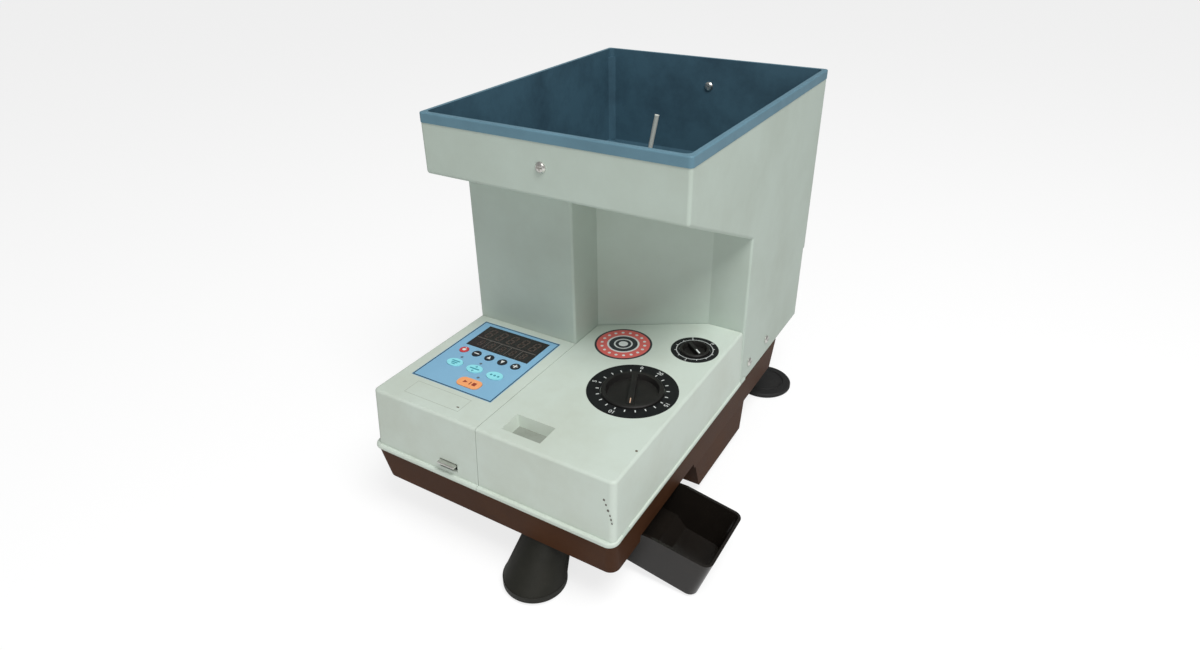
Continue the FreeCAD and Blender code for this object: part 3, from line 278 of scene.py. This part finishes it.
label_x0, label_y0, label_x1, label_y1, label_top = 12.5, 34.5, 100.5, 140.5, 144.0
edge = 0.5
line = 1.1
border = [
    bar(label_x0 + edge, label_y0 + edge, label_x1 - edge, label_y0 + edge + line),
    bar(label_x0 + edge, label_y1 - edge - line, label_x1 - edge, label_y1 - edge),
    bar(label_x0 + edge, label_y0 + edge + line, label_x0 + edge + line, label_y1 - edge - line),
    bar(label_x1 - edge - line, label_y0 + edge + line, label_x1 - edge, label_y1 - edge - line),
]
label_border = flat_piece("label_border", border, label_top, label_top + 0.06, ink_dark, "machine")
lamp_spots = [disc(x, y, 1.3) for x, y in ((34.1, 77.7), (56.1, 77.5), (68.1, 58.6))]
label_lamps = flat_piece("label_lamps", lamp_spots, label_top, label_top + 0.1, lamp_grey, "machine")

# Keys.
# Each key is a soft printed cap, level with the label: a red one, four black ones, three cyan
# ovals and an orange bar. Their marks are plain arrows, dots and bars.

key_colours = {
    "key_red": ((206, 62, 66), (180, 50, 54)),
    "key_black_1": ((24, 30, 38), (38, 44, 50)),
    "key_black_2": ((24, 30, 38), (38, 44, 50)),
    "key_black_3": ((24, 30, 38), (38, 44, 50)),
    "key_black_4": ((24, 30, 38), (38, 44, 50)),
    "key_cyan_1": ((150, 230, 240), (128, 212, 224)),
    "key_cyan_2": ((150, 230, 240), (128, 212, 224)),
    "key_cyan_3": ((150, 230, 240), (128, 212, 224)),
    "key_orange": ((250, 170, 112), (238, 154, 98)),
}
for name, (clean, soiled) in key_colours.items():
    finish_part(name, skin(name + " film", clean, soiled, patch=90, soil=0.5, grain=2500,
                           depth=0.06, smooth=0.35, rough=0.5))

ink_white = skin("white ink", (226, 230, 228), (198, 204, 202), patch=90, soil=0.4)
ink_teal = skin("teal ink", (62, 150, 168), (70, 158, 176), patch=90, soil=0.4)
ink_maroon = skin("maroon ink", (150, 62, 42), (160, 74, 50), patch=90, soil=0.4)
key_top = 144.5


def arrow(x, y, size, heading):
    turn = math.radians(heading)
    return [
        (x + size * math.cos(turn + lean), y + size * math.sin(turn + lean))
        for lean in (0, 2.3, -2.3)
    ]


def key_mark(key, outlines, material):
    mark = flat_piece(key + "_mark", outlines, key_top, key_top + 0.05, material, key)


key_mark("key_red", [disc(27.7, 88.8, 1.9), bar(27.2, 90.2, 28.2, 92.2)], ink_white)
key_mark("key_black_1", [bar(39.6, 88.2, 45.0, 89.4)], ink_white)
key_mark("key_black_2", [arrow(56.9, 88.6, 2.6, 90)], ink_white)
key_mark("key_black_3", [arrow(71.6, 89.0, 2.6, -90)], ink_white)
key_mark("key_black_4", [bar(83.6, 88.2, 88.8, 89.4), bar(85.6, 86.2, 86.8, 88.2),
                         bar(85.6, 89.4, 86.8, 91.4)], ink_white)
key_mark("key_cyan_1", [bar(29.8, 68.9, 38.6, 70.3), bar(31.0, 66.5, 37.4, 67.9),
                        bar(32.2, 64.4, 36.2, 65.6)], ink_teal)
key_mark("key_cyan_2", [bar(51.8, 67.0, 61.6, 68.6), arrow(56.7, 71.2, 1.7, 90),
                        arrow(56.7, 64.4, 1.7, -90)], ink_teal)
key_mark("key_cyan_3", [disc(75.4, 67.8, 1.2), disc(79.2, 67.8, 1.2), disc(83.0, 67.8, 1.2)], ink_teal)
key_mark("key_orange", [arrow(62.6, 48.0, 2.6, 0), bar(67.4, 45.8, 68.6, 50.2),
                        bar(70.4, 45.8, 74.2, 50.2)], ink_maroon)

# Display.
# A dark window covers two rows of five digits. Unlit segments show through it as dull
# grey-brown strokes, with a pale bezel line between the rows and between the lower digits.

window_film = skin("window film", (30, 25, 24), (38, 32, 30), patch=60, soil=0.5, grain=2500,
                   depth=0.03, smooth=0.12, rough=0.22)
finish_part("display_window", window_film)
segment_grey = skin("unlit segment", (74, 60, 54), (60, 48, 44), patch=120, soil=0.6,
                    smooth=0.3, rough=0.45)
bezel_grey = skin("display bezel", (96, 90, 86), (78, 72, 68), patch=120, soil=0.6)
window_top = 144.1


# The seven strokes of one digit that leans a little, in a box whose lower left corner is x, y.
def seven_strokes(x, y, width, height, stroke):
    lean = 0.12
    middle = y + height / 2
    gap = stroke * 0.35

    def leaning(corners):
        return [(u + (v - y) * lean, v) for u, v in corners]

    across = [bar(x + stroke, level - stroke / 2, x + width - stroke, level + stroke / 2)
              for level in (y + stroke / 2, middle, y + height - stroke / 2)]
    upright = [bar(left, low + gap, left + stroke, high - gap)
               for left in (x, x + width - stroke)
               for low, high in ((y + stroke / 2, middle), (middle, y + height - stroke / 2))]
    return [leaning(corners) for corners in across + upright]


upper_pitch, lower_pitch = 12.7, 12.2
strokes = []
for column in range(5):
    strokes += seven_strokes(27.6 + upper_pitch * column, 116.6, 7.0, 14.6, 1.5)
    strokes += seven_strokes(30.9 + lower_pitch * column, 101.4, 4.8, 9.2, 1.1)
digit_strokes = flat_piece("digit_strokes", strokes, window_top, window_top + 0.04, segment_grey,
                           "machine")
bezel = [bar(23.4, 113.2, 91.0, 114.2)]
bezel += [bar(39.9 + lower_pitch * n, 99.6, 40.5 + lower_pitch * n, 113.2) for n in range(4)]
display_bezel = flat_piece("display_bezel", bezel, window_top, window_top + 0.05, bezel_grey, "machine")

# Dials.
# Two black knobs sit in wells of the right cover, each in a black ring. The large ring has
# ticks and numbers all round, the small one a fine white circle, ticks and three numbers.

scale_black = skin("scale black", (20, 21, 23), (34, 35, 36), patch=40, soil=0.5, grain=2000,
                   depth=0.1, smooth=0.4, rough=0.55, shine=0.2)
finish_part("diameter_scale", scale_black)
finish_part("thickness_scale", scale_black)
knob_black = skin("knob black", (28, 27, 26), (44, 42, 39), patch=45, soil=0.7, grain=1700,
                  depth=0.25, smooth=0.4, rough=0.6, shine=0.25)
finish_part("diameter_knob", knob_black)
finish_part("thickness_knob", knob_black)
scale_top = 144.2


def tick(x, y, angle, inner, outer, width):
    turn = math.radians(angle)
    along = Vector((math.cos(turn), math.sin(turn)))
    side = Vector((-along.y, along.x)) * width / 2
    spots = (along * inner - side, along * outer - side, along * outer + side, along * inner + side)
    return [(x + spot.x, y + spot.y) for spot in spots]


# A band between two radii, cut into short four-sided plates.
def band(x, y, inner, outer, count=48):
    plates = []
    for n in range(count):
        a = math.radians(360 * n / count)
        b = math.radians(360 * (n + 1) / count)
        plates.append([
            (x + inner * math.cos(a), y + inner * math.sin(a)),
            (x + outer * math.cos(a), y + outer * math.sin(a)),
            (x + outer * math.cos(b), y + outer * math.sin(b)),
            (x + inner * math.cos(b), y + inner * math.sin(b)),
        ])
    return plates


def number(name, words, x, y, z, height, heading, material, body):
    letters = bpy.data.curves.new(name, "FONT")
    letters.body = words
    letters.size = height * 1.4 / 1000
    letters.extrude = 0.00002
    letters.align_x = "CENTER"
    letters.align_y = "CENTER"
    drawn = bpy.data.objects.new(name + "_letters", letters)
    bpy.context.scene.collection.objects.link(drawn)
    bpy.context.view_layer.update()
    mesh = bpy.data.meshes.new_from_object(drawn.evaluated_get(bpy.context.evaluated_depsgraph_get()))
    bpy.data.objects.remove(drawn)
    turned = Matrix.Rotation(math.radians(heading), 4, "Z")
    mesh.transform(Matrix.Translation(on_machine(x, y, z)) @ turned)
    mesh.materials.clear()
    mesh.materials.append(material)
    piece = bpy.data.objects.new(name, mesh)
    bpy.context.scene.collection.objects.link(piece)
    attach(piece, body)
    return piece


print_lift = 0.03
big_x, big_y, big_ring = 194.4, 109.2, 39.5
big_tick_start, big_tick_end, big_numbers = 0.73 * big_ring, 0.80 * big_ring, 0.885 * big_ring
big_ticks = []
for step in range(21):
    angle = 90 + 15 + step * 16.5
    if step % 5:
        big_ticks.append(tick(big_x, big_y, angle, big_tick_start, big_tick_end, 0.9))
    else:
        big_ticks.append(tick(big_x, big_y, angle, big_tick_start, 0.79 * big_ring, 0.9))
        turn = math.radians(angle)
        number("diameter_number_%d" % step, str(step), big_x + big_numbers * math.cos(turn),
               big_y + big_numbers * math.sin(turn), scale_top + print_lift, 4.0, angle - 90,
               ink_white, "right_cover")
big_marks = flat_piece("diameter_ticks", big_ticks, scale_top, scale_top + 0.05, ink_white,
                       "right_cover")

small_x, small_y = 212.9, 194.4
small_circle, small_tick_start, small_tick_end, small_numbers = 16.6, 17.1, 18.6, 20.2
small_marks = band(small_x, small_y, small_circle, small_tick_start)
for step in range(11):
    angle = 90 + 30 + step * 30
    small_marks.append(tick(small_x, small_y, angle, small_tick_start, small_tick_end, 0.6))
    if step in (0, 5, 10):
        turn = math.radians(angle)
        number("thickness_number_%d" % step, str(step), small_x + small_numbers * math.cos(turn),
               small_y + small_numbers * math.sin(turn), scale_top + print_lift, 2.4, angle - 90,
               ink_white, "right_cover")
small_print = flat_piece("thickness_ticks", small_marks, scale_top, scale_top + 0.05, ink_white,
                         "right_cover")

pointer_paint = skin("pointer paint", (222, 190, 160), (190, 96, 56), patch=160, soil=1.0)
bar_top = 146.3
big_pointer = flat_piece("diameter_pointer", [tick(big_x, big_y, -67, 14.5, 21.5, 0.8)], bar_top,
                         bar_top + 0.06, pointer_paint, "diameter_dial")
small_pointer = flat_piece("thickness_pointer", [tick(small_x, small_y, -40, 3.0, 10.2, 1.3)], bar_top,
                           bar_top + 0.06, ink_white, "thickness_dial")

# Round label on the right cover.
# A printed film disc is stuck beside the dials: a dark edge, a red ring with pale beads, a
# white ring and a dark middle that holds a plain coin.

label_red = skin("label red", (222, 104, 98), (206, 88, 82), patch=60, soil=0.5, smooth=0.3, rough=0.45)
label_dark = skin("label dark", (34, 40, 46), (48, 50, 52), patch=60, soil=0.5, smooth=0.3, rough=0.45)
round_x, round_y, deck = 150.7, 170.9, 144.0
film, ink_over_film = 0.10, 0.14
bead_circle, bead, bead_count = 20.2, 1.5, 18
bead_turns = [2 * math.pi * n / bead_count for n in range(bead_count)]
beads = [disc(round_x + bead_circle * math.cos(turn), round_y + bead_circle * math.sin(turn), bead,
              count=12) for turn in bead_turns]
coin = band(round_x, round_y, 7.4, 8.8, 48) + [disc(round_x, round_y, 4.4)]
layers = (
    ("round_label_edge", band(round_x, round_y, 25.0, 27.0, 64), film, label_dark),
    ("round_label_ring", band(round_x, round_y, 15.2, 25.0, 64), film, label_red),
    ("round_label_line", band(round_x, round_y, 13.4, 15.2, 64), film, ink_white),
    ("round_label_middle", [disc(round_x, round_y, 13.4, count=64)], film, label_dark),
    ("round_label_beads", beads, ink_over_film, ink_white),
    ("round_label_coin", coin, ink_over_film, ink_white),
)
for name, outlines, top, material in layers:
    layer = flat_piece(name, outlines, deck, deck + top, material, "right_cover")

# Wear on the covers, and painted shade on the embossed field.
# The left cover has a faint embossed field near its front edge; its raised outline is drawn as a darker
# line of painted shade. Handling has left a chip in it, a dark speck on the right cover and a row of
# pale scuffs on that cover's front face.

# The outline's darker colour is painted shade along the field's raised edge, not a colour of the
# plastic.
field_line_painted_shade = skin("field line painted shade", (168, 176, 164), (152, 158, 146), patch=60, soil=0.5)
field_x0, field_y0, field_x1, field_y1, fine = 26, 11, 85, 29, 0.35
field = [
    bar(field_x0, field_y0, field_x1, field_y0 + fine),
    bar(field_x0, field_y1 - fine, field_x1, field_y1),
    bar(field_x0, field_y0 + fine, field_x0 + fine, field_y1 - fine),
    bar(field_x1 - fine, field_y0 + fine, field_x1, field_y1 - fine),
]
embossed_field = flat_piece("embossed_field", field, deck, deck + 0.05, field_line_painted_shade, "machine")
chip_brown = skin("chip brown", (96, 84, 66), (70, 62, 50), patch=200, soil=0.8)
chip = flat_piece("cover_chip", [disc(81, 16, 1.5, 0.7, 10)], deck, deck + 0.06, chip_brown, "machine")
speck = flat_piece("cover_speck", [disc(235.7, 40.5, 1.1, count=12)], deck, deck + 0.06, chip_brown,
                   "right_cover")

# The scuffs lie in the sloping front face, which leans in by 4 mm over its lower 60 mm.
scuff_pale = skin("scuff pale", (96, 92, 84), (70, 66, 60), patch=200, soil=0.8)
# Each scuff has its place across, its height and its half width.
scuffs = ((231.5, 126.0, 1.0), (233.3, 122.2, 0.8), (235.2, 117.5, 1.1), (237.0, 113.6, 0.7),
          (238.0, 110.2, 0.8), (238.9, 107.0, 0.7))
scuff_corners, scuff_stretch, scuff_depth, scuff_height = 8, 1.4, 0.02, 0.06
work = bmesh.new()
for x, z, half in scuffs:
    face_y = -4 * (deck - z) / 60
    rounded = [(x + half * math.cos(turn), face_y, z + scuff_stretch * half * math.sin(turn))
               for turn in (2 * math.pi * n / scuff_corners for n in range(scuff_corners))]
    back_ring = [work.verts.new(on_machine(u, v + scuff_depth, w)) for u, v, w in rounded]
    front_ring = [work.verts.new(on_machine(u, v - scuff_height, w)) for u, v, w in rounded]
    work.faces.new(front_ring)
    work.faces.new(list(reversed(back_ring)))
    for n in range(scuff_corners):
        after = (n + 1) % scuff_corners
        work.faces.new((back_ring[n], back_ring[after], front_ring[after], front_ring[n]))
cover_scuffs = made_piece("cover_scuffs", work, scuff_pale, "right_cover")

# Bright metal.
# Screws, the cover latch, the hinge pin and shafts are plain or zinc-plated steel.

steel = skin("bright steel", (226, 225, 220), (188, 185, 178), patch=120, soil=0.6, grain=900,
             depth=0.08, smooth=0.22, rough=0.4, metallic=1.0)
for name in ("pan_screws", "cover_latch", "hinge_pin", "thickness_screw", "coin_disc",
             "feed_roller_front", "feed_roller_rear", "disc_bearing"):
    finish_part(name, steel)
zinc = skin("zinc plate", (168, 172, 172), (138, 142, 142), patch=30, soil=0.7, grain=700,
            depth=0.08, smooth=0.3, rough=0.5, metallic=1.0)
for name in ("chassis_plate", "coin_track", "feed_frame", "diameter_gate",
             "thickness_gate"):
    finish_part(name, zinc)

# Coin path, drives and electrics inside.
# White guide mouldings, black rubber belts, grey motors and the green boards are seen only when
# the right cover is open or from below.

guide_white = skin("guide white", (208, 208, 200), (186, 184, 172), patch=30, soil=0.5)
for name in ("drop_chute", "reject_chute", "disc_guard", "diameter_cam", "disc_pulley",
             "motor_pulley", "rear_belt_pulley", "front_belt_pulley"):
    finish_part(name, guide_white)
belt_rubber = skin("belt rubber", (26, 26, 26), (44, 43, 41), patch=50, smooth=0.6, rough=0.8)
for name in ("drive_belt", "transport_belt", "feed_belt"):
    finish_part(name, belt_rubber)
motor_paint = skin("motor paint", (92, 94, 96), (76, 77, 78), patch=40, soil=0.6, metallic=0.3)
for name in ("main_motor", "gear_motors"):
    finish_part(name, motor_paint)
board_green = skin("board green", (34, 92, 56), (28, 76, 46), patch=60, soil=0.6, smooth=0.3,
                   rough=0.45)
for name in ("control_board", "power_supply"):
    finish_part(name, board_green)
switch_black = skin("switch black", (20, 20, 20), (34, 33, 32), patch=80, smooth=0.35, rough=0.5)
for name in ("tact_switches", "count_sensor", "power_inlet", "power_rocker"):
    finish_part(name, switch_black)
digit_plastic = skin("digit plastic", (64, 58, 54), (52, 47, 44), patch=80)
finish_part("digit_modules", digit_plastic)

# Floor, backdrop, light and camera.
# The machine stands on a plain pale table in soft light from the front right, seen from above
# and to the right of its front.

floor_paint = bpy.data.materials.new("table top")
floor_paint.use_nodes = True
tree = floor_paint.node_tree
shader = tree.nodes["Principled BSDF"]
shader.inputs["Roughness"].default_value = 0.9
shader.inputs["Specular IOR Level"].default_value = 0.1
mottle = tree.nodes.new("ShaderNodeTexNoise")
mottle.inputs["Scale"].default_value = 3
ramp = tree.nodes.new("ShaderNodeMapRange")
ramp.inputs["To Min"].default_value = 0.88
ramp.inputs["To Max"].default_value = 0.92
tree.links.new(mottle.outputs["Fac"], ramp.inputs["Value"])
tree.links.new(ramp.outputs["Result"], shader.inputs["Base Color"])
glow = tree.nodes.new("ShaderNodeEmission")
rays = tree.nodes.new("ShaderNodeLightPath")
share = tree.nodes.new("ShaderNodeMath")
share.operation = "MULTIPLY"
glow_share = 0.7
share.inputs[1].default_value = glow_share
glow.inputs["Strength"].default_value = 1.12
mixed = tree.nodes.new("ShaderNodeMixShader")
tree.links.new(rays.outputs["Is Camera Ray"], share.inputs[0])
tree.links.new(share.outputs["Value"], mixed.inputs["Fac"])
tree.links.new(shader.outputs["BSDF"], mixed.inputs[1])
tree.links.new(glow.outputs["Emission"], mixed.inputs[2])
tree.links.new(mixed.outputs["Shader"], tree.nodes["Material Output"].inputs["Surface"])
floor_mesh = bpy.data.meshes.new("table_top")
work = bmesh.new()
bmesh.ops.create_grid(work, x_segments=2, y_segments=2, size=6.0)
work.to_mesh(floor_mesh)
work.free()
floor_mesh.materials.append(floor_paint)
table_top = bpy.data.objects.new("table_top", floor_mesh)
bpy.context.scene.collection.objects.link(table_top)

world = bpy.data.worlds.new("studio")
bpy.context.scene.world = world
world.use_nodes = True
tree = world.node_tree
backdrop = tree.nodes["Background"]
backdrop.inputs["Color"].default_value = (1.0, 1.0, 1.0, 1.0)
rays = tree.nodes.new("ShaderNodeLightPath")
either = tree.nodes.new("ShaderNodeMath")
either.operation = "MAXIMUM"
level = tree.nodes.new("ShaderNodeMapRange")
room_light, white_backdrop = 0.27, 1.0
level.inputs["To Min"].default_value = room_light
level.inputs["To Max"].default_value = white_backdrop
tree.links.new(rays.outputs["Is Camera Ray"], either.inputs[0])
tree.links.new(rays.outputs["Is Transmission Ray"], either.inputs[1])
tree.links.new(either.outputs["Value"], level.inputs["Value"])
tree.links.new(level.outputs["Result"], backdrop.inputs["Strength"])


# A square area lamp that aims at the machine's middle height.
def soft_light(name, spot, size, power):
    lamp = bpy.data.lights.new(name, "AREA")
    lamp.shape = "SQUARE"
    lamp.size = size
    lamp.energy = power
    holder = bpy.data.objects.new(name, lamp)
    holder.location = spot
    aim = Vector((0, 0, 0.15)) - Vector(spot)
    holder.rotation_euler = aim.to_track_quat("-Z", "Y").to_euler()
    bpy.context.scene.collection.objects.link(holder)


soft_light("key_light", (0.75, -0.5, 1.75), 0.8, 27)
soft_light("fill_light", (0.5, -1.9, 0.7), 1.0, 5)

lens = bpy.data.cameras.new("camera")
lens.sensor_width = 36.0
lens.lens = 23.0026
lens.clip_start = 0.01
lens.clip_end = 50.0
camera = bpy.data.objects.new("camera", lens)
# The camera's own axes and place, found from the machine's straight edges in the photograph.
right = Vector((0.85770722, 0.51397756, -0.01286029))
up = Vector((-0.24889426, 0.43697285, 0.86435316))
back = Vector((0.44987772, -0.73816109, 0.50272083))
turn = Matrix((right, up, back)).transposed().to_4x4()
camera.matrix_world = Matrix.Translation((0.30418, -0.55758, 0.51994)) @ turn
bpy.context.scene.collection.objects.link(camera)
bpy.context.scene.camera = camera
bpy.context.scene.view_settings.view_transform = "Standard"
